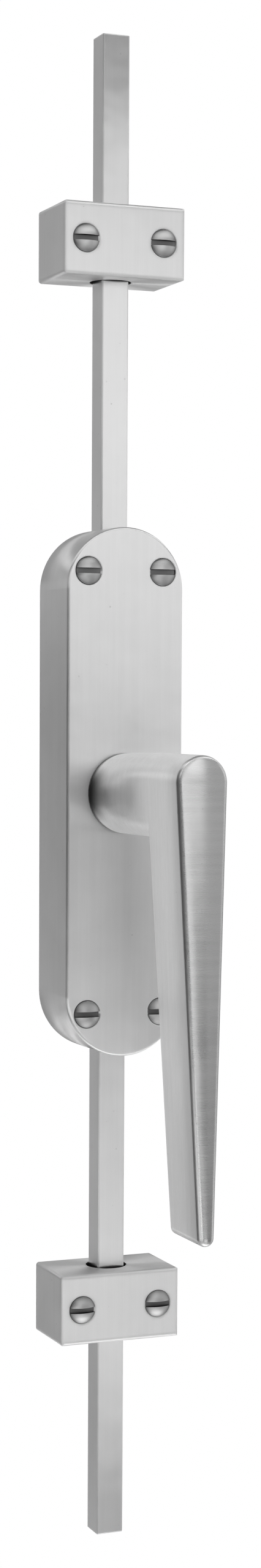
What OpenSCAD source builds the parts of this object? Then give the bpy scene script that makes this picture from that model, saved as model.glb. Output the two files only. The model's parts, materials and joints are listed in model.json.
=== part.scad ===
// Surface-mounted cremone bolt: a lever turns a pinion that draws two square rods into a case.
// X runs across the door, Y into the door and Z up. The mounting plane is Y = 0.
// The origin is where the lever's turning axis meets that plane. Sizes are in millimetres.

/* [Rods] */
// Width of the square rods
rod_w = 9.5; // [8:0.5:13]
// Broken edge along the rods
rod_edge = 0.4; // [0.2:0.1:0.8]
// Depth of the rods' centre line from the mounting plane
rod_depth = 11.5; // [10.5:0.25:12.5]
// Height of the upper rod's outer end above the turning axis
upper_reach = 252.5; // [215:0.5:1200]
// Depth of the lower rod's outer end below the turning axis
lower_reach = 257; // [210:0.5:1200]

/* [Guides] */
// Width of a guide block
guide_w = 43; // [40:0.5:60]
// Height of a guide block
guide_h = 24; // [16:0.5:40]
// Depth of a guide block
guide_d = 25; // [22:0.5:32]
// Rounding of a guide's outer edges
guide_edge = 1; // [0.4:0.1:2]
// Play round the rod's corners in a guide's bore
guide_play = 0.2; // [0.1:0.05:0.5]
// Height of the upper guide's centre
upper_guide_z = 183.5; // [130:0.5:1150]
// Depth of the lower guide's centre below the axis
lower_guide_z = 175.5; // [130:0.5:1150]
// Distance between a guide's two screws
guide_screw_gap = 27.6; // [26:0.1:30]

/* [Case] */
// Width of the case
case_w = 41.5; // [40:0.5:50]
// Length of the case
case_l = 178; // [170:0.5:260]
// Depth of the case
case_d = 27; // [26:0.25:32]
// Wall thickness of the case
case_wall = 3.2; // [2.8:0.1:3.4]
// Rounding of the case's front edge
case_edge = 1; // [0.4:0.1:2]
// Distance between the case's screws across the door
case_screw_gap_x = 26.6; // [25.6:0.1:27.4]
// Distance of the case's screws from its ends
case_screw_inset = 14.8; // [14:0.1:16]
// Thickness of the back plate
plate_t = 2.5; // [1.5:0.1:3]
// Width of the rim round the back plate
plate_rim = 1.6; // [1.2:0.1:2]
// Play round the back plate
plate_play = 0.15; // [0.05:0.05:0.3]
// Play on each side of a rod in the case's end
end_play = 0.25; // [0.1:0.05:0.4]

/* [Lever] */
// Diameter of the neck at the case
neck_d = 26.8; // [24:0.2:30]
// Gap between the lever's neck and the case
neck_gap = 0.4; // [0.2:0.1:1]
// Clear space for fingers between the case and the blade
finger_gap = 39; // [30:0.5:60]
// Height of the neck where it meets the blade
neck_end_h = 27.5; // [24:0.5:30]
// How far the blade's flat sides run back into the neck
neck_run = 6; // [2:0.5:10]
// Height of the head's top above the turning axis
head_top = 14.4; // [12:0.2:18]
// Width of the blade at its round head
head_w = 17.3; // [14:0.1:22]
// Depth of the blade at its head
head_d = 27.4; // [20:0.2:34]
// Width of the blade at its tip
tip_w = 5.6; // [4.4:0.1:10]
// Depth of the blade at its tip
tip_d = 23.8; // [16:0.2:30]
// Distance from the turning axis down to the tip
lever_drop = 140.5; // [90:0.5:180]
// How far the tip's front stands out past the head's front
tip_flare = 5; // [0:0.2:8]
// Rounding of the blade's front edges
blade_edge = 1.8; // [0.8:0.1:2.1]
// Rounding of the blade's back edges
blade_back_edge = 1; // [0.5:0.1:2]
// Crown of the blade's front face
blade_crown = 0.6; // [0.2:0.1:1.2]

/* [Spindle] */
// Width of the square ends of the spindle
spindle_sq = 9; // [8:0.5:9.5]
// Diameter of the front journal
journal_d = 14; // [13.6:0.2:15]
// Diameter of the rear journal
rear_journal_d = 8; // [6:0.5:8.5]
// Diameter of the shoulder that the pinion seats on
shoulder_d = 16; // [14:0.5:18]
// Diameter of the thrust collar
collar_d = 20; // [18:0.5:22]
// Thickness of the thrust collar
collar_t = 3; // [2:0.25:3.5]
// Length of the square inside the lever's neck
socket_l = 30; // [20:1:34]
// Radial running clearance of the journals
journal_play = 0.05; // [0.02:0.01:0.1]
// Play on each side of the spindle's squares
square_play = 0.1; // [0.05:0.05:0.2]
// Diameter of the set screw in the lever's neck
set_screw_d = 6; // [4:0.5:7]
// Distance of the set screw from the case
set_screw_out = 14; // [8:0.5:20]

/* [Bearings and washers] */
// Wall of the two bushes
bush_wall = 2; // [1.5:0.1:2.4]
// Thickness of the bushes' flanges
flange_t = 1.5; // [1:0.1:1.8]
// How far a flange stands out from its bush
flange_rim = 2.5; // [1.5:0.1:2.7]
// Thickness of the thrust washer
thrust_t = 1; // [0.8:0.1:1.2]
// Thickness of the friction washer
friction_t = 1.2; // [0.8:0.1:1.4]
// Thickness of the rear washer
rear_washer_t = 1; // [0.6:0.1:1.1]
// Thickness of the retaining ring
ring_t = 1; // [0.6:0.1:1]
// Depth of the retaining ring's groove
ring_groove = 0.6; // [0.4:0.1:0.8]
// Width of the retaining ring's band
ring_band = 2.4; // [1.6:0.1:2.8]

/* [Rack and pinion] */
// Module of the teeth
gear_module = 1.5; // [1.4:0.02:1.52]
// Teeth on the pinion, four of them to a quarter turn
pinion_teeth = 16; // [16:4:16]
// Pressure angle of the teeth in degrees
pressure_angle = 20; // [18:0.5:24]
// Play between meshing teeth along the pitch line
backlash = 0.24; // [0.16:0.02:0.32]
// How far the pinion stands past the racks at each face
pinion_overlap = 0.4; // [0:0.1:0.6]
// Teeth cut on each rack
rack_teeth = 7; // [7:1:8]
// Play between a rack's back and the case's wall
rack_play = 0.25; // [0.15:0.05:0.35]
// Gap between a drawn-in rod and the pinion's teeth
rod_clear = 1.6; // [1:0.1:3]
// Length of the foot that joins a rack to its rod
foot_l = 26; // [22:0.5:27]

/* [Screws] */
// Thread diameter of the mounting screws
screw_d = 4.8; // [4:0.1:5]
// Diameter of the mounting screws' plain shanks
shank_d = 4.2; // [3.4:0.1:4.6]
// Head diameter of the mounting screws
screw_head_d = 9.6; // [8:0.1:10]
// Length of the mounting screws below the head's rim
screw_l = 38.1; // [37.5:0.1:80]
// Height of the heads' oval tops
screw_dome = 1.5; // [0.8:0.1:2]
// Width of the screw slots
slot_w = 1.8; // [0.8:0.1:2.2]
// Depth of the screw slots
slot_depth = 2; // [1.2:0.1:2.2]
// Play round the mounting screws
screw_play = 0.2; // [0.1:0.05:0.4]
// Wall round a mounting screw inside the case
boss_wall = 1.8; // [1.2:0.1:2]
// Diameter of the small machine screws inside
small_screw_d = 3; // [2.5:0.1:3.2]
// Diameter of the racks' screws
rack_screw_d = 4; // [3:0.1:4.2]
// Distance between the two screws of a rack's foot
rack_screw_gap = 12; // [10:0.5:13]
// Play round the machine screws
small_play = 0.05; // [0.03:0.01:0.1]
// Distance of the back plate's screws from the case's ends
plate_screw_inset = 8; // [7.5:0.1:9]
// Distance between the back plate's screws across the door
plate_screw_gap = 17; // [16.4:0.1:18]
// Wall round a back plate screw's post
post_wall = 1.2; // [1:0.1:1.4]
// Thread depth of the back plate's screws in their posts
plate_screw_bite = 9; // [5:0.5:12]

/* [Hidden] */
$fn = 64;
overcut = 1;
arc_steps = 6;
hull_fn = 40;
sheet = 0.02;
countersink_angle = 41;
dome_steps = 8;
tip_length = 5;
seat_gap = 0.05;
half_turn = 180;
quarter_turn = 90;

rod_back = rod_depth - rod_w / 2;
rod_front = rod_depth + rod_w / 2;
guide_bore_d = rod_w * sqrt(2) + 2 * guide_play;

inner_front = case_d - case_wall;
cavity_w = case_w - 2 * case_wall;
cavity_l = case_l - 2 * case_wall;
plate_w = case_w - 2 * plate_rim - 2 * plate_play;
plate_l = case_l - 2 * plate_rim - 2 * plate_play;

pitch_r = gear_module * pinion_teeth / 2;
tooth_pitch = PI * gear_module;
travel = pitch_r * PI / 2;
addendum = gear_module;
rack_addendum = 0.9 * gear_module;
dedendum = 1.25 * gear_module;
pinion_r = pitch_r + addendum;
rack_back_x = cavity_w / 2 - rack_play;
rack_t = rod_w / 2;
rack_rear = rod_back;
rack_front = rod_back + rack_t;
pinion_rear = rack_rear - pinion_overlap;
pinion_front = rack_front + pinion_overlap;

rod_inner = pinion_r + rod_clear + travel;
foot_end = rod_inner + foot_l;
rack_first = -(rack_teeth - 4) / 2 + 0.5;
rack_last = rack_first + rack_teeth - 1;
rack_low = (rack_first - 1) * tooth_pitch;

neck_start = case_d + neck_gap;
blade_back = case_d + finger_gap;
head_front = blade_back + head_d;
tip_front = head_front + tip_flare;
head_r = head_w / 2;
tip_r = tip_w / 2;
head_z = head_top - head_r;
tip_z = -lever_drop + tip_r;
blade_taper = (head_r - tip_r) / (head_z - tip_z);
neck_low_z = (head_top - neck_end_h + head_r - blade_taper * head_z) / (1 - blade_taper);
neck_low_r = head_r - blade_taper * (head_z - neck_low_z);

bush_d = journal_d + 2 * journal_play + 2 * bush_wall;
front_flange_d = bush_d + 2 * flange_rim;
rear_bush_d = rear_journal_d + 2 * journal_play + 2 * bush_wall;
rear_flange_d = rear_bush_d + 2 * flange_rim;
rear_flange_front = plate_t + flange_t;
rear_washer_front = rear_flange_front + rear_washer_t;
ring_rear = pinion_rear - ring_t;
thrust_front = inner_front - flange_t;
friction_front = thrust_front - thrust_t;
collar_front = friction_front - friction_t;
collar_rear = collar_front - collar_t;
spindle_rear = 0.3;
socket_end = case_d + socket_l;

case_screw_gap_z = case_l - 2 * case_screw_inset;
boss_r = screw_d / 2 + screw_play + boss_wall;
post_r = small_screw_d / 2 + post_wall;
post_x = plate_screw_gap / 2;
plate_screw_z = case_l / 2 - plate_screw_inset;
small_head_d = 2 * small_screw_d;
rack_head_d = 2 * rack_screw_d;
rack_screw_z = rod_inner + foot_l / 2;

// Points along an arc about a centre
function arc(centre, r, from, to, steps = arc_steps) =
    [for (i = [0 : steps]) let (a = from + (to - from) * i / steps) centre + r * [cos(a), sin(a)]];

// Depth of a countersink that narrows from one diameter to another
function sink_depth(wide, narrow) = (wide - narrow) / 2 / tan(countersink_angle);

// Turns children that stand on +Z so that they stand on -Y, out of the door
module outward() {
    rotate([quarter_turn, 0, 0]) children();
}

// Round bar along the turning axis between two depths from the mounting plane
module bar(d, from, to) {
    outward() translate([0, 0, from]) cylinder(d = d, h = to - from);
}

// Ring about the turning axis between two depths
module ring(outer, inner, from, to) {
    difference() {
        bar(outer, from, to);
        bar(inner, from - overcut, to + overcut);
    }
}

// Square bar along the turning axis between two depths
module square_bar(w, from, to) {
    outward() translate([0, 0, from]) linear_extrude(to - from) square(w, center = true);
}

// Flat plate with round ends, between two depths
module stadium(w, l, from, to) {
    outward() translate([0, 0, from]) linear_extrude(to - from) {
        square([w, l - w], center = true);
        for (side = [-1, 1]) {
            translate([0, side * (l - w) / 2]) circle(d = w);
        }
    }
}

// Half section of the case: radius across, depth along, with a round front edge
function case_section(half) = concat(
    [[0, 0], [half, 0]],
    arc([half - case_edge, case_d - case_edge], case_edge, 0, quarter_turn),
    [[0, case_d]]);

// Outer body of the case with round ends and a round front edge
module case_body() {
    straight = case_l - case_w;
    half = case_section(case_w / 2);
    for (side = [-1, 1]) {
        translate([0, 0, side * straight / 2]) outward() rotate_extrude() polygon(half);
        translate([0, 0, -straight / 2]) linear_extrude(straight) polygon([for (p = half) [side * p.x, -p.y]]);
    }
}

// Places children at the case's four mounting screws
module at_case_screws() {
    for (x = [-1, 1], z = [-1, 1]) {
        translate([x * case_screw_gap_x / 2, 0, z * case_screw_gap_z / 2]) children();
    }
}

// Places children at the back plate's four screws
module at_plate_screws() {
    for (x = [-1, 1], z = [-1, 1]) {
        translate([x * post_x, 0, z * plate_screw_z]) children();
    }
}

// Hole for a mounting screw with its countersink in the front face
module screw_hole(front) {
    hole_d = screw_d + 2 * screw_play;
    sink = sink_depth(screw_head_d, hole_d) + seat_gap;
    bar(hole_d, -overcut, front);
    outward() translate([0, 0, front - sink]) {
        cylinder(d1 = hole_d, d2 = hole_d + 2 * (sink + overcut) * tan(countersink_angle), h = sink + overcut);
    }
}

// Slotted oval-head wood screw: its rim is level with the front face, and its thread starts at the mounting plane
module oval_screw(front) {
    r = screw_d / 2;
    shank_r = shank_d / 2;
    head_r = screw_head_d / 2;
    sink = sink_depth(screw_head_d, shank_d);
    dome_r = (head_r * head_r + screw_dome * screw_dome) / (2 * screw_dome);
    dome_angle = asin(head_r / dome_r);
    tip = front - screw_l;
    top = arc([0, front + screw_dome - dome_r], dome_r, quarter_turn - dome_angle, quarter_turn, dome_steps);
    difference() {
        outward() rotate_extrude() polygon(concat(
            [[0, tip], [r, tip + tip_length], [r, 0], [shank_r, 0], [shank_r, front - sink]],
            top));
        translate([-head_r, -front - screw_dome - overcut, -slot_w / 2]) {
            cube([2 * head_r, slot_depth + overcut, slot_w]);
        }
    }
}

// Countersunk machine screw that enters from the back at a given depth and bites forwards
module flat_screw(d, head_d, back, l) {
    sink = sink_depth(head_d, d);
    outward() translate([0, 0, back]) {
        difference() {
            rotate_extrude() polygon([[0, 0], [head_d / 2, 0], [d / 2, sink], [d / 2, l], [0, l]]);
            translate([-head_d / 2, -d / 8, -overcut]) cube([head_d, d / 4, sink / 2 + overcut]);
        }
    }
}

// Clearance for a countersunk machine screw
module flat_screw_hole(d, head_d, back, l) {
    wide = d + 2 * small_play;
    sink = sink_depth(head_d, d);
    outward() translate([0, 0, back]) {
        cylinder(d = wide, h = l + seat_gap);
        translate([0, 0, -overcut]) {
            cylinder(d1 = head_d + 2 * small_play + 2 * overcut * tan(countersink_angle), d2 = wide,
                     h = sink + overcut);
        }
    }
}

// Case: a cast box with round ends, open at the back
module case_shell() {
    color([0.72, 0.72, 0.71]) difference() {
        union() {
            difference() {
                case_body();
                stadium(cavity_w, cavity_l, -overcut, inner_front);
            }
            at_case_screws() bar(2 * boss_r, plate_t, case_d - case_wall / 2);
            at_plate_screws() bar(2 * post_r, plate_t, case_d - case_wall / 2);
        }
        stadium(plate_w + 2 * plate_play, plate_l + 2 * plate_play, -overcut, plate_t);
        at_case_screws() screw_hole(case_d);
        at_plate_screws() bar(small_screw_d + 2 * small_play, 0, plate_t + plate_screw_bite + overcut);
        bar(bush_d, 0, case_d + overcut);
        translate([0, -rod_depth, 0]) cube([rod_w + 2 * end_play, rod_w + 2 * end_play, case_l + 2 * overcut],
                                           center = true);
    }
}

// Back plate: pressed steel, let into the case's back
module back_plate() {
    color([0.6, 0.6, 0.6]) difference() {
        stadium(plate_w, plate_l, 0, plate_t);
        bar(rear_bush_d, -overcut, plate_t + overcut);
        at_case_screws() bar(screw_d + 2 * screw_play, -overcut, plate_t + overcut);
        at_plate_screws() flat_screw_hole(small_screw_d, small_head_d, 0, plate_t);
    }
}

// Four countersunk screws that hold the back plate
module back_plate_screws() {
    color([0.55, 0.55, 0.55]) at_plate_screws() {
        flat_screw(small_screw_d, small_head_d, 0, plate_t + plate_screw_bite);
    }
}

// Four oval-head screws that hold the case to the door
module case_screws() {
    color([0.7, 0.7, 0.69]) at_case_screws() oval_screw(case_d);
}

// Places children at a guide's two screws
module at_guide_screws(z) {
    for (side = [-1, 1]) {
        translate([side * guide_screw_gap / 2, 0, z]) children();
    }
}

// Outline of one face of a guide, with its outer corners rounded
function round_corners(w, h, e) = concat(
    arc([w / 2 - e, h / 2 - e], e, 0, quarter_turn),
    arc([e - w / 2, h / 2 - e], e, quarter_turn, half_turn),
    arc([e - w / 2, e - h / 2], e, half_turn, half_turn + quarter_turn),
    arc([w / 2 - e, e - h / 2], e, half_turn + quarter_turn, 2 * half_turn));

// Outline of a guide from the side: square at the back, rounded at the front
function round_front(w, d, e) = concat(
    [[-w / 2, 0], [w / 2, 0]],
    arc([w / 2 - e, d - e], e, 0, quarter_turn),
    arc([e - w / 2, d - e], e, quarter_turn, half_turn));

// Guide block with a round bore for the rod and two countersunk holes
module guide(z) {
    color([0.74, 0.74, 0.73]) difference() {
        translate([0, 0, z]) intersection() {
            outward() linear_extrude(guide_d) polygon(round_corners(guide_w, guide_h, guide_edge));
            translate([0, 0, -guide_h / 2]) linear_extrude(guide_h) {
                polygon([for (p = round_front(guide_w, guide_d, guide_edge)) [p.x, -p.y]]);
            }
            translate([-guide_w / 2, 0, 0]) rotate([quarter_turn, 0, quarter_turn]) linear_extrude(guide_w) {
                polygon([for (p = round_front(guide_h, guide_d, guide_edge)) [-p.y, p.x]]);
            }
        }
        translate([0, -rod_depth, z - guide_h / 2 - overcut]) {
            cylinder(d = guide_bore_d, h = guide_h + 2 * overcut);
        }
        at_guide_screws(z) screw_hole(guide_d);
    }
}

module upper_guide() {
    guide(upper_guide_z);
}

module lower_guide() {
    guide(-lower_guide_z);
}

module upper_guide_screws() {
    color([0.7, 0.7, 0.69]) at_guide_screws(upper_guide_z) oval_screw(guide_d);
}

module lower_guide_screws() {
    color([0.7, 0.7, 0.69]) at_guide_screws(-lower_guide_z) oval_screw(guide_d);
}

// Front bush: flanged bronze, in the case's front wall
module front_bush() {
    color([0.72, 0.55, 0.3]) difference() {
        union() {
            bar(bush_d, inner_front - flange_t, case_d);
            bar(front_flange_d, inner_front - flange_t, inner_front);
        }
        bar(journal_d + 2 * journal_play, 0, case_d + overcut);
    }
}

// Thrust washer: hardened steel, against the front bush
module thrust_washer() {
    color([0.5, 0.5, 0.52]) ring(front_flange_d, journal_d + 2 * journal_play, friction_front, thrust_front);
}

// Friction washer: fibre, gripped between the collar and the thrust washer
module friction_washer() {
    color([0.35, 0.22, 0.15]) ring(collar_d, journal_d + 2 * journal_play, collar_front, friction_front);
}

// Rear bush: flanged bronze, in the back plate
module rear_bush() {
    color([0.72, 0.55, 0.3]) difference() {
        union() {
            bar(rear_bush_d, 0, rear_flange_front);
            bar(rear_flange_d, plate_t, rear_flange_front);
        }
        bar(rear_journal_d + 2 * journal_play, -overcut, case_d);
    }
}

// Rear washer: takes the push of the lever against the back plate
module rear_washer() {
    color([0.5, 0.5, 0.52]) ring(rear_flange_d, rear_journal_d + 2 * journal_play,
                                 rear_flange_front, rear_washer_front);
}

// Spindle: turned steel with a collar, two journals and two squares
module spindle() {
    color([0.6, 0.6, 0.62]) difference() {
        union() {
            bar(rear_journal_d, spindle_rear, pinion_rear);
            square_bar(spindle_sq, pinion_rear, pinion_front);
            bar(shoulder_d, pinion_front, collar_rear);
            bar(collar_d, collar_rear, collar_front);
            bar(journal_d, collar_front, case_d);
            square_bar(spindle_sq, case_d, socket_end);
        }
        ring(rear_journal_d + 2 * overcut, rear_journal_d - 2 * ring_groove, ring_rear, pinion_rear);
    }
}

// Point on the involute of a circle after it has unrolled by an angle in degrees
function involute(base_r, a) = base_r * [cos(a) + a * PI / half_turn * sin(a),
                                         sin(a) - a * PI / half_turn * cos(a)];

// Unrolled angle at which an involute reaches a radius
function unroll(base_r, r) = sqrt(pow(r / base_r, 2) - 1) * half_turn / PI;

// Turns a point about the origin
function turned(p, a) = [p.x * cos(a) - p.y * sin(a), p.x * sin(a) + p.y * cos(a)];

// One pinion tooth about the X axis: two involute flanks on a root circle
function tooth(root_r) =
    let (base_r = pitch_r * cos(pressure_angle),
         at_pitch = involute(base_r, unroll(base_r, pitch_r)),
         half_angle = (tooth_pitch - backlash) / 4 / pitch_r * half_turn / PI,
         shift = -half_angle - atan2(at_pitch.y, at_pitch.x),
         last = unroll(base_r, pinion_r),
         flank = [for (i = [0 : arc_steps]) turned(involute(base_r, last * i / arc_steps), shift)],
         foot = turned([root_r - overcut, 0], shift))
    concat([foot], flank, [for (i = [arc_steps : -1 : 0]) [flank[i].x, -flank[i].y]], [[foot.x, -foot.y]]);

// Pinion: cut steel with a square hole, a tooth space facing each rack
module pinion() {
    root_r = pitch_r - dedendum;
    color([0.55, 0.56, 0.58]) difference() {
        outward() translate([0, 0, pinion_rear]) linear_extrude(pinion_front - pinion_rear) {
            circle(r = root_r);
            for (i = [0 : pinion_teeth - 1]) {
                rotate((i + 0.5) * 2 * half_turn / pinion_teeth) polygon(tooth(root_r));
            }
        }
        square_bar(spindle_sq + 2 * square_play, 0, case_d);
    }
}

// Retaining ring: spring steel, open at one side, in the spindle's rear groove
module retaining_ring() {
    inner = rear_journal_d - 2 * ring_groove + 2 * journal_play;
    outer = inner + 2 * ring_band;
    color([0.3, 0.3, 0.32]) difference() {
        ring(outer, inner, ring_rear + seat_gap, pinion_rear - seat_gap);
        translate([-inner / 4, -case_d, 0]) cube([inner / 2, case_d, outer]);
    }
}

// Round of the blade: a disc about the turning axis with rounded rims and a crowned front
module blade_round(r, back, front) {
    full = front - back;
    flat = full - blade_crown * r / head_r;
    crown = [for (i = [1 : dome_steps])
        let (s = (r - blade_edge) * (1 - i / dome_steps))
        [s, full - (full - flat) * pow(s / (r - blade_edge), 2)]];
    back_edge = min(blade_back_edge, r / 2);
    outward() translate([0, 0, back]) rotate_extrude($fn = hull_fn) polygon(concat(
        [[0, 0]],
        arc([r - back_edge, back_edge], back_edge, -quarter_turn, 0),
        arc([r - blade_edge, flat - blade_edge], blade_edge, 0, quarter_turn),
        crown));
}

// Round slice of the neck at a given depth and height
module neck_slice(r, depth, z) {
    translate([0, -depth, z]) outward() cylinder(r = r, h = sheet, $fn = hull_fn);
}

// Lever: a cast blade on a round neck, with a square socket for the spindle
module lever() {
    color([0.7, 0.7, 0.69]) difference() {
        union() {
            hull() {
                translate([0, 0, head_z]) blade_round(head_r, blade_back, head_front);
                translate([0, 0, tip_z]) blade_round(tip_r, tip_front - tip_d, tip_front);
            }
            hull() {
                neck_slice(neck_d / 2, neck_start, 0);
                for (depth = [blade_back - neck_run, blade_back + 2 * blade_back_edge]) {
                    neck_slice(head_r - sheet, depth, head_z);
                    neck_slice(neck_low_r - sheet, depth, neck_low_z);
                }
            }
        }
        square_bar(spindle_sq + 2 * square_play, case_d, socket_end + seat_gap);
        translate([0, -case_d - set_screw_out, -neck_d]) cylinder(d = set_screw_d + 2 * small_play, h = neck_d);
    }
}

// Set screw: socket-headed, up through the neck against the spindle's flat
module lever_set_screw() {
    top = -spindle_sq / 2;
    low = -neck_d / 2 + blade_edge;
    key = set_screw_d / 2;
    color([0.3, 0.3, 0.32]) translate([0, -case_d - set_screw_out, 0]) difference() {
        translate([0, 0, low]) cylinder(d = set_screw_d, h = top - low);
        translate([0, 0, low - overcut]) cylinder(d = key, h = key + overcut, $fn = 6);
    }
}

// Section of a rod with its edges broken
function rod_section() = let (h = rod_w / 2, e = rod_edge) [
    [h - e, h], [e - h, h], [-h, h - e], [-h, e - h], [e - h, -h], [h - e, -h], [h, e - h], [h, h - e]];

// Places children at the two screws of a rack's foot
module at_rack_screws() {
    for (side = [-1, 1]) {
        translate([0, 0, rack_screw_z + side * rack_screw_gap / 2]) children();
    }
}

// Rod that runs upwards, its inner end lapped to half its depth for the rack's foot
module rod(reach) {
    color([0.76, 0.76, 0.75]) difference() {
        translate([0, -rod_depth, rod_inner]) linear_extrude(reach - rod_inner) polygon(rod_section());
        translate([-rod_w, -rack_front, rod_inner - overcut]) cube([2 * rod_w, rod_w, foot_l + overcut]);
        at_rack_screws() bar(rack_screw_d + 2 * small_play, 0, rod_front + overcut);
    }
}

// Rack that draws the upper rod: toothed bar on the left and a foot across the rod's lap
module rack() {
    root_x = pitch_r + dedendum;
    lean = tan(pressure_angle);
    half_tooth = (tooth_pitch - backlash) / 4;
    tip_half = half_tooth - rack_addendum * lean;
    root_half = half_tooth + (root_x - pitch_r) * lean;
    tip_x = pitch_r - rack_addendum;
    color([0.55, 0.56, 0.58]) difference() {
        outward() translate([0, 0, rack_rear]) linear_extrude(rack_t) {
            translate([-rack_back_x, rack_low]) square([rack_back_x - root_x, foot_end - rack_low]);
            translate([-rack_back_x, rod_inner]) square([rack_back_x + rod_w / 2, foot_l]);
            for (i = [rack_first : rack_last]) {
                translate([0, i * tooth_pitch]) polygon([
                    [-root_x - overcut, -root_half], [-root_x, -root_half], [-tip_x, -tip_half],
                    [-tip_x, tip_half], [-root_x, root_half], [-root_x - overcut, root_half]]);
            }
        }
        at_rack_screws() flat_screw_hole(rack_screw_d, rack_head_d, rack_rear, rack_t);
    }
}

// Two countersunk screws that fix a rack's foot to its rod
module rack_screws() {
    color([0.4, 0.4, 0.42]) at_rack_screws() flat_screw(rack_screw_d, rack_head_d, rack_rear, rod_w);
}

// Half a turn about the turning axis, which takes upper pieces to their lower places
module lower() {
    rotate([0, half_turn, 0]) children();
}

module upper_rod() {
    rod(upper_reach);
}

module upper_rack() {
    rack();
}

module upper_rack_screws() {
    rack_screws();
}

module lower_rod() {
    lower() rod(lower_reach);
}

module lower_rack() {
    lower() rack();
}

module lower_rack_screws() {
    lower() rack_screws();
}

case_shell();
back_plate();
back_plate_screws();
case_screws();
upper_guide();
lower_guide();
upper_guide_screws();
lower_guide_screws();
front_bush();
thrust_washer();
friction_washer();
rear_bush();
rear_washer();
spindle();
pinion();
retaining_ring();
lever();
lever_set_screw();
upper_rod();
upper_rack();
upper_rack_screws();
lower_rod();
lower_rack();
lower_rack_screws();
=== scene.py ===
import json
import math

import bmesh
import bpy
import numpy as np
from mathutils import Matrix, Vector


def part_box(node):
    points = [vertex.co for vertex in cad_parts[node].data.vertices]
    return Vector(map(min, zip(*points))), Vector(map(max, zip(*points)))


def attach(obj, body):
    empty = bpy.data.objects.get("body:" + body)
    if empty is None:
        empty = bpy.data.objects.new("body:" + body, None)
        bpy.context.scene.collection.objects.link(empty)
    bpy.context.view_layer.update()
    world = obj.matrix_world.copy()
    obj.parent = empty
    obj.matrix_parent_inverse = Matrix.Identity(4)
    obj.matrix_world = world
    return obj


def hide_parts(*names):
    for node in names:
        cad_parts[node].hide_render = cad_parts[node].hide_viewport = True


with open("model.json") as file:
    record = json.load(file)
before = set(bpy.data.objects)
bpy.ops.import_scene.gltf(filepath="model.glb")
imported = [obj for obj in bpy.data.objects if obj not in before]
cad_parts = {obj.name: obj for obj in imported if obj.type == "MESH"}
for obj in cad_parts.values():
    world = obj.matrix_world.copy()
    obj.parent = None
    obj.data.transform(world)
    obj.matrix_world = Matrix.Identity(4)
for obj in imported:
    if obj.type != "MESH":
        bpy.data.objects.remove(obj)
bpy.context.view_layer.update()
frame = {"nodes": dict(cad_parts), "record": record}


# Case: a zinc casting with round ends, open at the back, that holds the gear.
# Its satin nickel plate is brushed up and down, and handling has rubbed its edges dull.
class Wire:
    """One output of a material's nodes: arithmetic adds Math nodes, and add() makes any other node."""

    def __init__(self, tree, socket):
        self.tree = tree
        self.socket = socket

    def add(self, kind, settings, sockets, output=0):
        """A node of a type: its settings are made first, then the values or links of its sockets."""
        node = self.tree.nodes.new("ShaderNode" + kind)
        for key, value in settings.items():
            setattr(node, key, value)
        for key, value in sockets.items():
            entry = next(s for s in node.inputs if key in (s.identifier, s.name) and s.enabled)
            if isinstance(value, Wire):
                self.tree.links.new(value.socket, entry)
            else:
                entry.default_value = value
        return Wire(self.tree, node.outputs[output])

    def math(self, operation, first, second):
        """A Math node on two values, each a wire or a number."""
        return self.add("Math", {"operation": operation}, {"Value": first, "Value_001": second})

    def __add__(self, other):
        return self.math("ADD", self, other)

    def __sub__(self, other):
        return self.math("SUBTRACT", self, other)

    def __rsub__(self, other):
        return self.math("SUBTRACT", other, self)

    def __mul__(self, other):
        return self.math("MULTIPLY", self, other)

    __radd__ = __add__
    __rmul__ = __mul__

    def axis(self, letter):
        """The X, Y or Z of a place or a direction."""
        return self.add("SeparateXYZ", {}, {"Vector": self}, letter)

    def ramp(self, low, high):
        """Goes from 0 at low to 1 at high, smoothly, and stays there."""
        settings = {"interpolation_type": "SMOOTHSTEP"}
        return self.add("MapRange", settings, {"Value": self, "From Min": low, "From Max": high})

    def blend(self, dark, light):
        """Mixes two greys, or two colours, by this value."""
        ends = [c if isinstance(c, Wire) else (*np.broadcast_to(c, 3), 1) for c in (dark, light)]
        sockets = {"Factor_Float": self, "A_Color": ends[0], "B_Color": ends[1]}
        colour_output = 2
        return self.add("Mix", {"data_type": "RGBA"}, sockets, colour_output)


def new_material(name):
    """A material with one Principled shader, and the wire that carries Object coordinates."""
    material = bpy.data.materials.new(name)
    material.use_nodes = True
    tree = material.node_tree
    shader = next(n for n in tree.nodes if n.type == "BSDF_PRINCIPLED")
    place = Wire(tree, tree.nodes.new("ShaderNodeTexCoord").outputs["Object"])
    return material, shader, place


def feed(shader, **wires):
    """Links wires to the shader's sockets, whose names have spaces where these have underscores."""
    for key, wire in wires.items():
        wire.tree.links.new(wire.socket, shader.inputs[key.replace("_", " ")])


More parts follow.
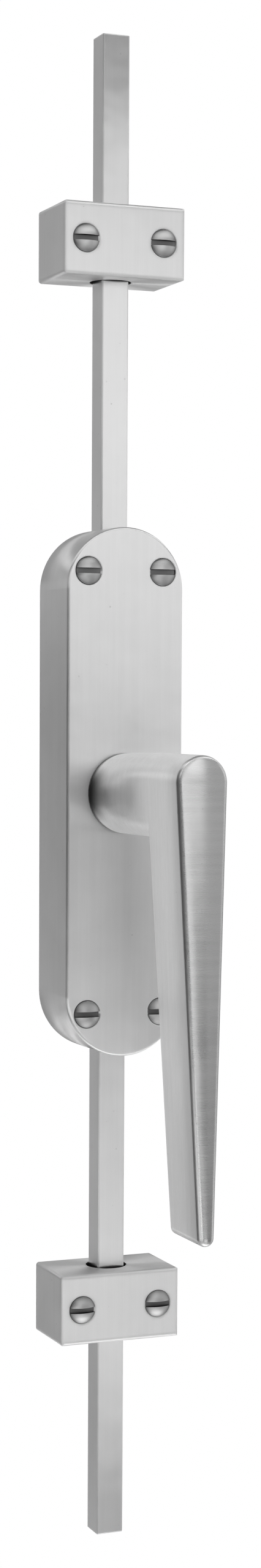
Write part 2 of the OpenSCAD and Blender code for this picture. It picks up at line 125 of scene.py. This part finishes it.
def brushed(name, grey, grain, rough, stretch, turn=0.0, edge=0.0008, cloud=0.12, marks=1.0, dull=0.0,
            wavy=1.0, darkening=None):
    """Brushed metal: noise drawn out along the grain sets fine lines in tone, gloss and height.

    grain is the length of a brush line along X, Y and Z in metres: long along the strokes, short across.
    Broader noise along the grain gives streaks, darker by cloud, and slow noise, scaled by wavy, makes the
    face a little uneven. marks scales the lines' contrast. Within edge, in metres, of a corner the metal is
    worn rough and pale, and less metallic by dull. stretch and turn draw out the gloss. darkening, where
    given, is a function of the place that multiplies the grey; it is used mostly for painted shade.
    """
    # Lines, finer lines and streaks: their widths and lengths as multiples of the grain
    layers = ((1.0, 1.0), (0.4, 0.5), (9.0, 2.2))
    finer_share = 0.45
    streak_limits = (0.3, 0.7)
    # Cells of slow noise and of specks to the metre, and a speck's inner and outer radius in cells
    haze_cells = 55.0
    speck_cells = 160.0
    speck_radii = (0.02, 0.06)
    # How far the eased normal has left the face's own where wear starts, and where it is full
    wear_limits = (0.004, 0.12)
    # Heights of the slow waves and of the brush lines in metres, and how much of the lines shows
    wave_height = 0.00022
    line_height = 0.0001
    line_strength = 0.06

    material, shader, place = new_material(name)
    lines = []
    for width, length in layers:
        scale = [1 / (g * (length if g == max(grain) else width)) for g in grain]
        drawn = place.add("Mapping", {"vector_type": "POINT"}, {"Vector": place, "Scale": scale})
        noise = {"Vector": drawn, "Scale": 1.0, "Detail": 2.0, "Roughness": 0.6}
        lines.append(place.add("TexNoise", {}, noise))
    strokes = (1 - finer_share) * lines[0] + finer_share * lines[1]
    streaks = lines[2].ramp(*streak_limits)
    noise = {"Vector": place, "Scale": haze_cells, "Detail": 2.0, "Roughness": 0.5}
    haze = place.add("TexNoise", {}, noise)
    sway = wavy * (haze - 0.5)
    dust = place.add("TexVoronoi", {}, {"Vector": place, "Scale": speck_cells, "Randomness": 1.0})
    speck = 1 - dust.ramp(*speck_radii)
    eased = place.add("Bevel", {"samples": 6}, {"Radius": edge})
    pair = {"Vector": eased, "Vector_001": place.add("NewGeometry", {}, {}, "Normal")}
    likeness = place.add("VectorMath", {"operation": "DOT_PRODUCT"}, pair, "Value")
    worn = (1 - likeness).ramp(*wear_limits)

    # A given function of the place multiplies the grey: painted shade in the guides' bores, at the screws'
    # rims and at the lever's foot.
    # Lines are darker and paler by turns, streaks and specks are darker, and worn edges are paler
    if darkening:
        grey = grey * darkening(place)
    grey = grey * (1 + 0.16 * sway)
    tone = strokes.blend(grey * (1 - 0.07 * marks), grey * (1 + 0.05 * marks))
    tone = (0.5 * streaks).blend(tone, grey * (1 - cloud))
    tone = (0.25 * speck).blend(tone, grey * 0.5)
    tone = (0.4 * worn).blend(tone, grey * 1.06)
    # The gloss changes with the lines and the slow noise, and specks and worn edges are rougher
    gloss = rough + 0.16 * (strokes - 0.5) + 0.08 * sway + 0.15 * speck + 0.35 * worn
    waves = {"Strength": 1.0, "Distance": wave_height * wavy, "Height": haze, "Normal": eased}
    ridges = {"Strength": line_strength, "Distance": line_height, "Height": strokes}
    normal = place.add("Bump", {}, {**ridges, "Normal": place.add("Bump", {}, waves)})
    feed(shader, Base_Color=tone, Roughness=gloss, Normal=normal)
    shader.inputs["Metallic"].default_value = 1.0
    if dull:
        feed(shader, Metallic=1 - dull * worn)
    shader.inputs["Anisotropic"].default_value = stretch
    shader.inputs["Anisotropic Rotation"].default_value = turn
    return material


def dress(node, material):
    """Gives a CAD node's object its material."""
    slots = frame["nodes"][node].data.materials
    slots.clear()
    slots.append(material)


UPRIGHT_GRAIN = (0.00022, 0.00022, 0.03)
case_metal = brushed("case_satin_nickel", grey=0.87, grain=UPRIGHT_GRAIN, rough=0.42, stretch=0.95,
                     edge=0.0006, cloud=0.056, dull=0.7)
dress("case_shell", case_metal)

# Back plate and its four countersunk screws: pressed steel, zinc plated, let into the case's back.
# The plate carries the rear bush and closes the case against the door.


def machined(name, grey, rough, tint=(1.0, 1.0, 1.0), metal=1.0, swirl=0.0015):
    """Machined or plated metal: cloudy noise in tone and gloss, and pits too small to see one by one.

    swirl is in metres: a cloud is ten swirls wide, and a pit is a third of one.
    """
    pit_height = 0.0001
    pit_strength = 0.08
    material, shader, place = new_material(name)
    clouds = {"Vector": place, "Scale": 1 / (10 * swirl), "Detail": 4.0, "Roughness": 0.6}
    pits = {"Vector": place, "Scale": 3 / swirl, "Detail": 2.0, "Roughness": 0.5}
    cloud = place.add("TexNoise", {}, clouds)
    pit = place.add("TexNoise", {}, pits)
    colour = np.array(tint) * grey
    tone = cloud.ramp(0.3, 0.7).blend(colour * 0.86, colour * 1.1)
    gloss = rough + 0.2 * (cloud - 0.5) + 0.1 * (pit - 0.5)
    normal = place.add("Bump", {}, {"Strength": pit_strength, "Distance": pit_height, "Height": pit})
    feed(shader, Base_Color=tone, Roughness=gloss, Normal=normal)
    shader.inputs["Metallic"].default_value = metal
    return material


plate_steel = machined("plate_zinc_steel", grey=0.50, rough=0.42)
gear_steel = machined("gear_steel", grey=0.42, rough=0.34)
dress("back_plate", plate_steel)
dress("back_plate_screws", gear_steel)

# Bushes and washers: bronze bushes in the case's front wall and in the back plate, hardened washers,
# and a brown fibre washer whose grip holds the lever where it is left.
BRONZE = (1.0, 0.70, 0.36)
FIBRE = (1.0, 0.57, 0.36)
bush_bronze = machined("bush_bronze", grey=0.62, rough=0.32, tint=BRONZE)
washer_fibre = machined("washer_fibre", grey=0.26, rough=0.75, tint=FIBRE, metal=0.0, swirl=0.0006)
dress("front_bush", bush_bronze)
dress("rear_bush", bush_bronze)
dress("thrust_washer", gear_steel)
dress("rear_washer", gear_steel)
dress("friction_washer", washer_fibre)

# Spindle, pinion and racks: cut steel under a film of grease, with black screws and a black spring ring.
# The pinion sits on the spindle's square and moves both racks.
dark_steel = machined("black_oxide_steel", grey=0.10, rough=0.45)
for node in ("spindle", "pinion", "upper_rack", "lower_rack"):
    dress(node, gear_steel)
for node in ("retaining_ring", "upper_rack_screws", "lower_rack_screws"):
    dress(node, dark_steel)

# Rods: cold-drawn 9.5 mm square steel with broken edges, nickel plated, the lines of drawing along them.
# Their inner ends are lapped and screwed to the racks inside the case.
rod_metal = brushed("rod_satin_nickel", grey=0.86, grain=UPRIGHT_GRAIN, rough=0.42, stretch=0.95,
                    edge=0.0005, cloud=0.048, dull=0.5)
dress("upper_rod", rod_metal)
dress("lower_rod", rod_metal)

# Guide blocks: solid nickel-plated blocks with a round bore for the rod, brushed up and down.
# Two screws hold each to the door, and the bore is painted dark as shade.
mounts = {m["name"]: m for m in frame["record"]["mounts"]}
ROD_Y = mounts["upper_rod_end"]["pos_m"][1]
BORE_R = 0.00692
# Squares of the distances from the rod's middle where the painted bore shade starts to lift and where it
# ends
BORE_SHADE_LIMITS = (1.01 * BORE_R ** 2, 1.04 * BORE_R ** 2)
BORE_SHADE_GREY = 0.05


def bore_shade(place):
    """Painted shade in the bore: near the rod's middle line, only a small share of the grey is left."""
    x = place.axis("X")
    y = place.axis("Y") - ROD_Y
    unshaded = (x * x + y * y).ramp(*BORE_SHADE_LIMITS)
    return BORE_SHADE_GREY + (1 - BORE_SHADE_GREY) * unshaded


guide_metal = brushed("guide_satin_nickel", grey=0.82, grain=UPRIGHT_GRAIN, rough=0.42, stretch=0.95,
                      edge=0.0016, cloud=0.048, dull=0.7, darkening=bore_shade)
dress("upper_guide", guide_metal)
dress("lower_guide", guide_metal)

# Mounting screws: slotted oval-head wood screws, turned from steel, nickel plated, with painted shade at
# the rim.
# Their rims are level with the faces that they hold, and their threads bite into the door behind.
# The screws' and the lever's sizes are in millimetres, and MM is one of them in metres
MM = 0.001
SCREW_HEAD_R = 4.8
SCREW_DOME = 1.5
SCREW_SINK = 3.106
CAP_R = 4.3
# Radius and height over the held face where the rim's curve bends, and where it ends
RIM_BEND = (4.64, 0.07)
RIM_END = (4.58, -0.15)
SHANK_R = 2.1
SHANK_END = 0.2
THREAD_R = 2.4
THREAD_PITCH = 1.95
# The root's share of the thread's radius, and the ridge's share of each pitch
THREAD_ROOT = 0.72
THREAD_RIDGE = 1 / 1.7
SCREW_LENGTH = 38.1
SCREW_POINT = 5.0
SCREW_CREASE = math.radians(35)
SLOT_W = 1.8
SLOT_DEPTH = 2.0
SLOT_REACH = 1.2 * SCREW_HEAD_R


def grid_mesh(name, grids):
    """One mesh from several grids of points: each grid's quads join every point to its neighbours.

    A grid is an array of rows, columns and coordinates, and points that meet are merged.
    """
    corners = []
    start = 0
    for grid in grids:
        rows, columns = grid.shape[:2]
        index = np.arange(rows * columns).reshape(rows, columns) + start
        quads = (index[:-1, :-1], index[1:, :-1], index[1:, 1:], index[:-1, 1:])
        corners.append(np.stack([q.ravel() for q in quads], axis=1))
        start += rows * columns
    corners = np.concatenate(corners)
    mesh = bpy.data.meshes.new(name)
    mesh.vertices.add(start)
    mesh.vertices.foreach_set("co", np.concatenate([g.reshape(-1) for g in grids]).astype(np.float32))
    mesh.loops.add(corners.size)
    mesh.loops.foreach_set("vertex_index", corners.ravel().astype(np.int32))
    mesh.polygons.add(len(corners))
    mesh.polygons.foreach_set("loop_start", np.arange(0, corners.size, 4, dtype=np.int32))
    mesh.update()
    mesh.validate()
    work = bmesh.new()
    work.from_mesh(mesh)
    bmesh.ops.remove_doubles(work, verts=work.verts, dist=1e-7)
    bmesh.ops.recalc_face_normals(work, faces=work.faces)
    work.to_mesh(mesh)
    work.free()
    return mesh


def screw_grid(front):
    """Oval-head wood screw: a sphere's cap, a rounded rim, a cone, a plain shank and a pointed thread.

    It is a surface of revolution: a row of the grid is a ring, with its depth measured out from the door.
    The rim is a quadratic curve of three points. The thread's radius is its root plus a narrow ridge, whose
    place goes round once in each pitch of depth.
    """
    columns = 64
    cap_rows = 16
    rim_rows = 6
    rows_a_pitch = 14
    ball = (SCREW_HEAD_R ** 2 + SCREW_DOME ** 2) / (2 * SCREW_DOME)
    cap = np.linspace(0, CAP_R, cap_rows)
    cap_depth = front + SCREW_DOME - ball + np.sqrt(ball ** 2 - cap ** 2)
    part = np.linspace(0, 1, rim_rows + 1)[1:]
    weights = np.stack([(1 - part) ** 2, 2 * part * (1 - part), part ** 2])
    rim = np.dot([CAP_R, RIM_BEND[0], RIM_END[0]], weights)
    rim_depth = np.dot([cap_depth[-1], front + RIM_BEND[1], front + RIM_END[1]], weights)
    shank = np.array([SHANK_R, SHANK_R, SHANK_R])
    shank_depth = np.array([front - SCREW_SINK, front / 2, SHANK_END])
    tip = SCREW_LENGTH - front
    bite = np.linspace(0, tip, int(rows_a_pitch * tip / THREAD_PITCH))[:, None]
    angle = np.linspace(0, 2 * np.pi, columns + 1)
    place = (bite / THREAD_PITCH - angle / (2 * np.pi)) % 1
    ridge = np.clip(1 - np.abs(2 * place - 1) / THREAD_RIDGE, 0, 1)
    ridge = ridge * np.clip(bite / THREAD_PITCH, 0, 1)
    outer = THREAD_R * np.clip((tip - bite) / SCREW_POINT, 0, 1)
    thread = outer * (THREAD_ROOT + (1 - THREAD_ROOT) * ridge)
    plain_rows = np.concatenate([cap, rim, shank])
    radius = np.concatenate([np.repeat(plain_rows[:, None], columns + 1, axis=1), thread])
    depth = np.concatenate([cap_depth, rim_depth, shank_depth, -bite[:, 0]])
    y = np.broadcast_to(-depth[:, None], radius.shape)
    return np.stack([radius * np.cos(angle), y, radius * np.sin(angle)], axis=-1) * MM


def block_grids(low, high):
    """The six sides of a box between two corners, each a grid of four points."""
    sides = []
    for axis in range(3):
        for end in (low[axis], high[axis]):
            side = np.zeros((2, 2, 3))
            side[..., axis] = end
            side[..., axis - 1] = np.array([[low[axis - 1]], [high[axis - 1]]])
            side[..., axis - 2] = np.array([[low[axis - 2], high[axis - 2]]])
            sides.append(side * MM)
    return sides


def piece_of(mesh, *materials):
    """A new object for a mesh, smooth shaded, with its materials."""
    piece = bpy.data.objects.new(mesh.name, mesh)
    for material in materials:
        mesh.materials.append(material)
    mesh.polygons.foreach_set("use_smooth", np.ones(len(mesh.polygons), dtype=bool))
    bpy.context.scene.collection.objects.link(piece)
    return piece


def carve(piece, tool, operation):
    """Joins another solid to a piece, or takes it away, and drops the tool."""
    change = piece.modifiers.new(operation, "BOOLEAN")
    change.operation = operation
    change.solver = "EXACT"
    change.object = tool
    seen = piece.evaluated_get(bpy.context.evaluated_depsgraph_get())
    made = bpy.data.meshes.new_from_object(seen)
    piece.modifiers.clear()
    old = piece.data
    piece.data = made
    made.name = piece.name
    bpy.data.meshes.remove(old)
    bpy.data.objects.remove(tool)


# How far a dome's face looks forward, from 0 to 1, where the painted rim shade is full and where it ends
RIM_SHADE_LIMITS = (0.83, 0.97)
RIM_SHADE_GREY = 0.5


def rim_shade(place):
    """Painted shade round a head's rim: the metal is darker where the dome slopes most."""
    forward = 0 - place.add("NewGeometry", {}, {}, "Normal").axis("Y")
    return RIM_SHADE_GREY + (1 - RIM_SHADE_GREY) * forward.ramp(*RIM_SHADE_LIMITS)


screw_metal = brushed("screw_nickel", grey=0.50, grain=(0.004, 0.002, 0.0002), rough=0.40, stretch=0.0,
                      edge=0.0002, wavy=0.0, darkening=rim_shade)
# The slots' walls and floor are painted dark: painted shade in the recess, not a darker metal.
slot_wall_shade = machined("screw_slot_wall", grey=0.02, rough=0.5)
slot_floor_shade = machined("screw_slot_floor", grey=0.17, rough=0.5)
screw_metals = (screw_metal, slot_wall_shade, slot_floor_shade)
# Which of these a slot's sides have: walls left, right and in front, the floor, and walls below and above
SLOT_SIDES = np.array([1, 1, 1, 2, 1, 1], dtype=np.int32)


def screws(name, front, spacing, heights):
    """Screws at both sides of the middle and at some heights, their slots level, in place of a CAD node."""
    places = [np.array([x, 0, z]) for x in (-spacing / 2, spacing / 2) for z in heights]
    turned = grid_mesh(name + "_turned", [screw_grid(front) + p * MM for p in places])
    piece = piece_of(turned, *screw_metals)
    low = np.array([-SLOT_REACH, -front - 2 * SCREW_DOME, -SLOT_W / 2])
    high = np.array([SLOT_REACH, -front - SCREW_DOME + SLOT_DEPTH, SLOT_W / 2])
    slots = grid_mesh(name + "_slots", [g for p in places for g in block_grids(low + p, high + p)])
    slots.polygons.foreach_set("material_index", np.tile(SLOT_SIDES, len(places)))
    carve(piece, piece_of(slots, *screw_metals), "DIFFERENCE")
    piece.data.set_sharp_from_angle(angle=SCREW_CREASE)
    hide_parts(name)
    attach(piece, "case")


case_front = -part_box("case_shell")[0].y / MM
guide_front = -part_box("upper_guide")[0].y / MM
case_bolts = mounts["case_studs"]["dims"]
guide_bolts = mounts["guide_studs"]["dims"]
case_half = case_bolts["spacing_y_mm"] / 2
guide_half = guide_bolts["spacing_y_mm"] / 2
guide_middle = mounts["guide_studs"]["pos_m"][2] / MM
screws("case_screws", case_front, case_bolts["spacing_x_mm"], (-case_half, case_half))
screws("upper_guide_screws", guide_front, guide_bolts["spacing_x_mm"], (guide_middle + guide_half,))
screws("lower_guide_screws", guide_front, guide_bolts["spacing_x_mm"], (guide_middle - guide_half,))

# Lever: one casting, a round neck that flattens into a thin blade, nickel plated. A set screw from below
# holds it on the spindle. Its neck and sides are brushed along the blade and its crowned front across,
# and shade is painted where the neck meets the case.
HEAD_R = 8.65
HEAD_Z = 5.75
TIP_R = 2.8
TIP_Z = -137.7
# Depths out from the door at the blade's head and at its tip
BLADE_BACK = (66.0, 74.6)
BLADE_FRONT = (93.4, 98.4)
FRONT_EDGE = 1.8
BACK_EDGE = 1.0
CROWN = 0.6
NECK_R = 13.4
# Depths where the neck starts, where it is as flat as the blade, and where it ends inside the blade
NECK_START = 27.4
NECK_FLAT = 60.0
NECK_END = 80.0
NECK_EDGE = 0.5
NECK_BEND = 0.16
# The flat neck is a little wider than the blade, less so with each millimetre, until it is flush
NECK_SWELL = 0.0006
NECK_FLUSH = 71.0
NECK_LOW_Z = -4.88
NECK_LOW_R = 8.22
# The square socket for the spindle is cut from a little outside the neck
SOCKET_HALF = 4.6
SOCKET_START = NECK_START - 1
SOCKET_END = 57.05
SET_SCREW_R = 3.05
SET_SCREW_OUT = 41.0
LEAN = math.asin((HEAD_R - TIP_R) / (HEAD_Z - TIP_Z))
LEVER_CREASE = math.radians(32)
# A face whose normal has a lower Y than this has the front's finish
FRONT_FACING = -0.8


def blade_grid():
    """Blade: the outline of two discs and their common tangents, carried over the back, side and front.

    Columns go round the outline. Rows go out over the back from its middle line, round its edge, along the
    side, round the front edge and in over the crown, a parabola that the edge's arc meets at its own slope.
    """
    straight_steps = 48
    head_steps = 64
    tip_steps = 40
    back_edge_rows = 8
    front_edge_rows = 15
    settling_steps = 12
    down = np.linspace(0, 1, straight_steps + 1)
    head = np.linspace(-LEAN, math.pi + LEAN, head_steps + 1)
    tip = np.linspace(math.pi + LEAN, 2 * math.pi - LEAN, tip_steps + 1)
    straights = [np.full(straight_steps, end) for end in (head[-1], tip[-1])]
    turn = np.concatenate([head, straights[0], tip[1:], straights[1]])
    share = np.concatenate([0 * head, down[1:], 0 * tip[1:] + 1, down[-2::-1]])
    r = HEAD_R + (TIP_R - HEAD_R) * share
    z = HEAD_Z + (TIP_Z - HEAD_Z) * share
    back = BLADE_BACK[0] + (BLADE_BACK[1] - BLADE_BACK[0]) * share
    front = BLADE_FRONT[0] + (BLADE_FRONT[1] - BLADE_FRONT[0]) * share
    ease = np.minimum(BACK_EDGE, r / 2)
    crown = CROWN * r / HEAD_R
    slope = np.zeros_like(r)
    for _ in range(settling_steps):
        flat = r - FRONT_EDGE + FRONT_EDGE * np.sin(slope)
        slope = np.arctan(2 * crown / flat)
    arc = front - crown - FRONT_EDGE * np.cos(slope)
    middle = np.array([0, 0.4, 0.8])[:, None]
    back_turn = np.linspace(-math.pi / 2, 0, back_edge_rows)[:, None]
    side = np.array([0.02, 0.08, 0.25, 0.5, 0.75, 0.92, 0.98])[:, None]
    part = np.linspace(0, 1, front_edge_rows)[:, None]
    front_turn = part * (math.pi / 2 - slope)
    inward = 1 - part[1:]
    out = np.concatenate([
        (r - ease) * middle, r - ease + ease * np.cos(back_turn), r + 0 * side,
        r - FRONT_EDGE + FRONT_EDGE * np.cos(front_turn), flat * inward])
    deep = np.concatenate([
        back + 0 * middle, back + ease + ease * np.sin(back_turn), back + ease + (arc - back - ease) * side,
        arc + FRONT_EDGE * np.sin(front_turn), front - crown * inward ** 2])
    return np.stack([out * np.cos(turn), -deep, z + out * np.sin(turn)], axis=-1) * MM


def neck_grid():
    """Neck: rings that change from a circle at the case to the blade's flat-sided outline, and stay so.

    A ring is the mean of the circle and the outline along rays from the turning axis. The outline's share
    grows in a straight line with depth and levels off over a short parabola.
    """
    high_steps = 56
    low_steps = 48
    side_steps = 9
    edge_rows = 6
    rings = 23
    high = np.linspace(-LEAN, math.pi + LEAN, high_steps + 1)
    low = np.linspace(math.pi + LEAN, 2 * math.pi - LEAN, low_steps + 1)
    arcs = [np.stack([r * np.cos(turn), z + r * np.sin(turn)], axis=-1)
            for turn, r, z in ((high, HEAD_R, HEAD_Z), (low, NECK_LOW_R, NECK_LOW_Z))]
    part = np.linspace(0, 1, side_steps + 1)[1:-1, None]
    left = arcs[0][-1] * (1 - part) + arcs[1][0] * part
    right = arcs[1][-1] * (1 - part) + arcs[0][0] * part
    outline = np.concatenate([arcs[0], left, arcs[1], right, arcs[0][:1]])
    circle = NECK_R * outline / np.linalg.norm(outline, axis=1, keepdims=True)
    edge_turn = np.linspace(0, math.pi / 2, edge_rows)
    edge_shrink = 1 - NECK_EDGE / NECK_R * (1 - np.sin(edge_turn))
    shrink = np.concatenate([[0], edge_shrink, np.ones(rings), [0]])[:, None, None]
    depth = np.concatenate([
        [NECK_START], NECK_START + NECK_EDGE * (1 - np.cos(edge_turn)),
        np.linspace(NECK_START + NECK_EDGE, NECK_END, rings + 1)[1:], [NECK_END]])
    share = (depth - NECK_START) / (NECK_FLAT - NECK_START)
    bent = share - (share - 1 + NECK_BEND) ** 2 / (4 * NECK_BEND)
    level = np.where(share < 1 - NECK_BEND, share, bent)
    level = np.where(share > 1 + NECK_BEND, 1, level)[:, None, None]
    swell = (1 + NECK_SWELL * (NECK_FLUSH - depth))[:, None, None]
    ring = (circle * (1 - level) + outline * level * swell) * shrink
    y = np.broadcast_to(-depth[:, None], ring.shape[:2])
    return np.stack([ring[..., 0], y, ring[..., 1]], axis=-1) * MM


def hole_grid():
    """Hole for the set screw: a plain cylinder straight up from under the neck, closed at both ends."""
    columns = 48
    angle = np.linspace(0, 2 * math.pi, columns + 1)
    r = np.array([0, SET_SCREW_R, SET_SCREW_R, 0])[:, None]
    z = np.array([-2 * NECK_R, -2 * NECK_R, 0, 0])[:, None] + 0 * angle
    return np.stack([r * np.cos(angle), r * np.sin(angle) - SET_SCREW_OUT, z], axis=-1) * MM


def darker_front_and_root_shade(place):
    """Darkening of the neck and sides: the sides are darker towards the front, and shade is painted at the
    neck's foot.

    The sides darken with depth, measured along the front's lean and only below the head. The painted shade
    is a thin line all round the foot and a broader patch at the height of the turning axis.
    """
    # Places in metres, but squares of heights for the patch, and the shares of the grey that are lost
    head_heights = (0.007, 0.0135)
    side_depths = (0.080, 0.0945)
    side_lean = 0.035
    side_loss = 0.32
    patch_squares = (0.00001, 0.0001)
    patch_depths = (0.0287, 0.0395)
    patch_loss = 0.97
    line_depths = (0.0280, 0.0298)
    line_loss = 0.75
    depth = 0 - place.axis("Y")
    height = place.axis("Z")
    side = (1 - height.ramp(*head_heights)) * (depth + side_lean * height).ramp(*side_depths)
    # Painted shade at the neck's foot: a broad patch about the turning axis's height and a thin line all
    # round
    patch = (1 - (height * height).ramp(*patch_squares)) * (1 - depth.ramp(*patch_depths))
    line = 1 - depth.ramp(*line_depths)
    return (1 - side_loss * side) * (1 - patch_loss * patch) * (1 - line_loss * line)


# The sides' grey is above the case's and the front's is far below it: painted light on the sides and
# painted shade on the front of one nickel plate.
lever_side_metal = brushed("lever_side_nickel", grey=0.98, grain=UPRIGHT_GRAIN, rough=0.36, stretch=0.6,
                           marks=3.2, darkening=darker_front_and_root_shade)
lever_front_metal = brushed("lever_front_nickel", grey=0.55, grain=(0.03, 0.006, 0.00022), rough=0.28,
                            stretch=0.75, turn=0.25, marks=0.6)
lever_metals = (lever_side_metal, lever_front_metal)
lever = piece_of(grid_mesh("lever_casting", [blade_grid()]), *lever_metals)
facing = np.zeros((len(lever.data.polygons), 3), dtype=np.float32)
lever.data.polygons.foreach_get("normal", facing.ravel())
on_front = facing[:, 1] < FRONT_FACING
lever.data.polygons.foreach_set("material_index", on_front.astype(np.int32))
carve(lever, piece_of(grid_mesh("neck", [neck_grid()]), *lever_metals), "UNION")
socket = block_grids((-SOCKET_HALF, -SOCKET_END, -SOCKET_HALF), (SOCKET_HALF, -SOCKET_START, SOCKET_HALF))
carve(lever, piece_of(grid_mesh("socket", socket), *lever_metals), "DIFFERENCE")
carve(lever, piece_of(grid_mesh("hole", [hole_grid()]), *lever_metals), "DIFFERENCE")
lever.data.set_sharp_from_angle(angle=LEVER_CREASE)
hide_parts("lever")
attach(lever, "handle")
dress("lever_set_screw", dark_steel)

# Studio: a white backdrop, and a ring of pale, grey and dark cards whose reflections shade the metal.
# The camera doesn't see the cards, and the pale floor lies below the picture.
scene = bpy.context.scene
scene.view_settings.view_transform = "Standard"
scene.world = bpy.data.worlds.new("studio")
scene.world.use_nodes = True
backdrop = next(n for n in scene.world.node_tree.nodes if n.type == "BACKGROUND")
backdrop.inputs["Color"].default_value = (1, 1, 1, 1)
backdrop.inputs["Strength"].default_value = 1.0
CARD_R = 0.5


def plain(name, grey, glow=0.0):
    """Plain paint for the floor, or an evenly lit card where it glows."""
    material, shader, _ = new_material(name)
    shader.inputs["Base Color"].default_value = (grey, grey, grey, 1)
    shader.inputs["Roughness"].default_value = 0.9
    shader.inputs["Emission Color"].default_value = (1, 1, 1, 1)
    shader.inputs["Emission Strength"].default_value = glow
    return material


def put_up(name, points, glow):
    """Puts up a card on a grid of points: black paint that glows evenly, which the camera doesn't see."""
    piece = piece_of(grid_mesh(name, [points]), plain(name, grey=0.0, glow=glow))
    piece.visible_camera = False
    return piece


def upright(turn, height):
    """Part of a cylinder round the object, between two turns from the front, in degrees, and two heights.

    A point on it is the cylinder's radius times the turn's sine and cosine.
    """
    columns = 25
    rows = 13
    a, z = np.meshgrid(np.radians(np.linspace(*turn, columns)), np.linspace(*height, rows))
    return np.stack([CARD_R * np.sin(a), -CARD_R * np.cos(a), z], axis=-1)


def level_ring(turn, reach, height, rows=25):
    """Part of a level ring round the upright axis, between two turns from the front and two radii.

    A point on it is its own radius times the turn's sine and cosine.
    """
    columns = 9
    r, a = np.meshgrid(np.linspace(*reach, columns), np.radians(np.linspace(*turn, rows)))
    return np.stack([r * np.sin(a), -r * np.cos(a), np.full_like(r, height)], axis=-1)


# Each upright card's turns from the front in degrees, its heights in metres and its glow
CARDS = {
    "left_high": ((-65, -25), (0.13, 0.345), 1.1),
    "left_middle": ((-65, -25), (0.06, 0.13), 0.0),
    "camera_side": ((-65, -10), (-0.14, 0.06), 0.1),
    "left_low": ((-65, -25), (-0.37, -0.14), 1.25),
    "front_high": ((-25, 6), (0.06, 0.345), 1.1),
    "front_middle": ((-10, 6), (-0.14, 0.06), 1.3),
    "tip_strip": ((-25, -7), (-0.25, -0.14), 2.5),
    "front_low_left": ((-25, -7), (-0.37, -0.25), 0.8),
    "front_low": ((-7, 3), (-0.37, -0.25), 0.3),
    "strip_high": ((6, 20), (0.0, 0.345), 1.75),
    "strip_middle": ((6, 20), (-0.14, 0.0), 0.2),
    "strip_lower": ((-7, 20), (-0.25, -0.14), 0.2),
    "strip_low": ((3, 20), (-0.37, -0.25), 2.1),
    "shade": ((20, 50), (-0.12, 0.345), 0.6),
    "shade_middle": ((20, 50), (-0.22, -0.12), 0.42),
    "shade_low": ((20, 50), (-0.37, -0.22), 0.15),
    "right_high": ((50, 85), (0.20, 0.345), 0.7),
    "right": ((50, 85), (0.02, 0.20), 1.2),
    "right_middle": ((50, 85), (-0.22, 0.02), 0.75),
    "right_low": ((50, 85), (-0.37, -0.22), 1.2),
    "end_over": ((-65, 85), (0.345, 0.45), 0.0),
    "end_under": ((-65, 85), (-0.45, -0.37), 0.25),
    "side_high": ((85, 145), (0.0, 0.45), 0.5),
    "side_low": ((85, 145), (-0.45, 0.0), 0.3),
    "back_high": ((145, 180), (0.0, 0.22), 0.8),
    "back_over": ((145, 180), (0.22, 0.45), 0.42),
    "back_turn": ((180, 195), (0.0, 0.45), 0.45),
    "back_middle": ((145, 168), (-0.22, 0.0), 0.3),
    "back_foot": ((145, 168), (-0.45, -0.22), 0.05),
    "back_low": ((168, 195), (-0.22, 0.0), 1.0),
    "back_under": ((168, 195), (-0.45, -0.22), 0.4),
    "back_left": ((-165, -140), (-0.16, 0.14), 1.05),
    "back_left_over": ((-165, -140), (0.14, 0.45), 0.62),
    "back_left_under": ((-165, -140), (-0.45, -0.16), 0.82),
    "left_side_high": ((-140, -125), (0.06, 0.45), 0.7),
    "left_side_low": ((-140, -125), (-0.45, 0.06), 0.12),
    "left_dark": ((-125, -65), (-0.45, 0.45), 0.03),
    "top_front": ((-40, 85), (0.45, 1.0), 1.7),
    "top_left": ((-125, -40), (0.45, 1.0), 0.8),
    "top": ((85, 235), (0.45, 1.0), 0.35),
}
for name, (turn, height, glow) in CARDS.items():
    put_up("card_" + name, upright(turn, height), glow)

# The bounce lies just over the floor and is seen only in reflections, and the lid closes the ring's top
FLOOR_Z = -0.45
FLOOR_R = 0.45
BOUNCE_Z = -0.44
LID_Z = 1.0
bounce = put_up("card_bounce", level_ring(turn=(-20, 60), reach=(0.04, 0.30), height=BOUNCE_Z), glow=2.6)
bounce.visible_diffuse = False
bounce.visible_shadow = False
lid = put_up("card_lid", level_ring(turn=(0, 360), reach=(0.0, CARD_R), height=LID_Z), glow=0.1)
lid.visible_diffuse = False
disc = level_ring(turn=(0, 360), reach=(0.0, FLOOR_R), height=FLOOR_Z, rows=65)
floor = piece_of(grid_mesh("floor", [disc]), plain("floor_pale", grey=0.9))

# Camera: at the photograph's place, to the left of the lever and a little above its axis.
# Its turn, tilt and roll, in radians, are fitted to the edges of the case, guides, rods and lever.
IMAGE_H = 2560
FOCAL_PX = 4264.4
CENTRE_PX = 1435.7
CAMERA_AT = (-0.32731, -0.84161, 0.03350)
TURN = 0.38433
TILT = 0.07103
ROLL = 0.00513
eye = bpy.data.cameras.new("camera")
eye.lens = FOCAL_PX / IMAGE_H * eye.sensor_width
eye.shift_y = CENTRE_PX / IMAGE_H - 0.5
camera = bpy.data.objects.new("camera", eye)
upward = Matrix.Rotation(math.pi / 2 - TILT, 4, "X") @ Matrix.Rotation(ROLL, 4, "Z")
camera.matrix_world = Matrix.Translation(CAMERA_AT) @ Matrix.Rotation(-TURN, 4, "Z") @ upward
scene.collection.objects.link(camera)
scene.camera = camera
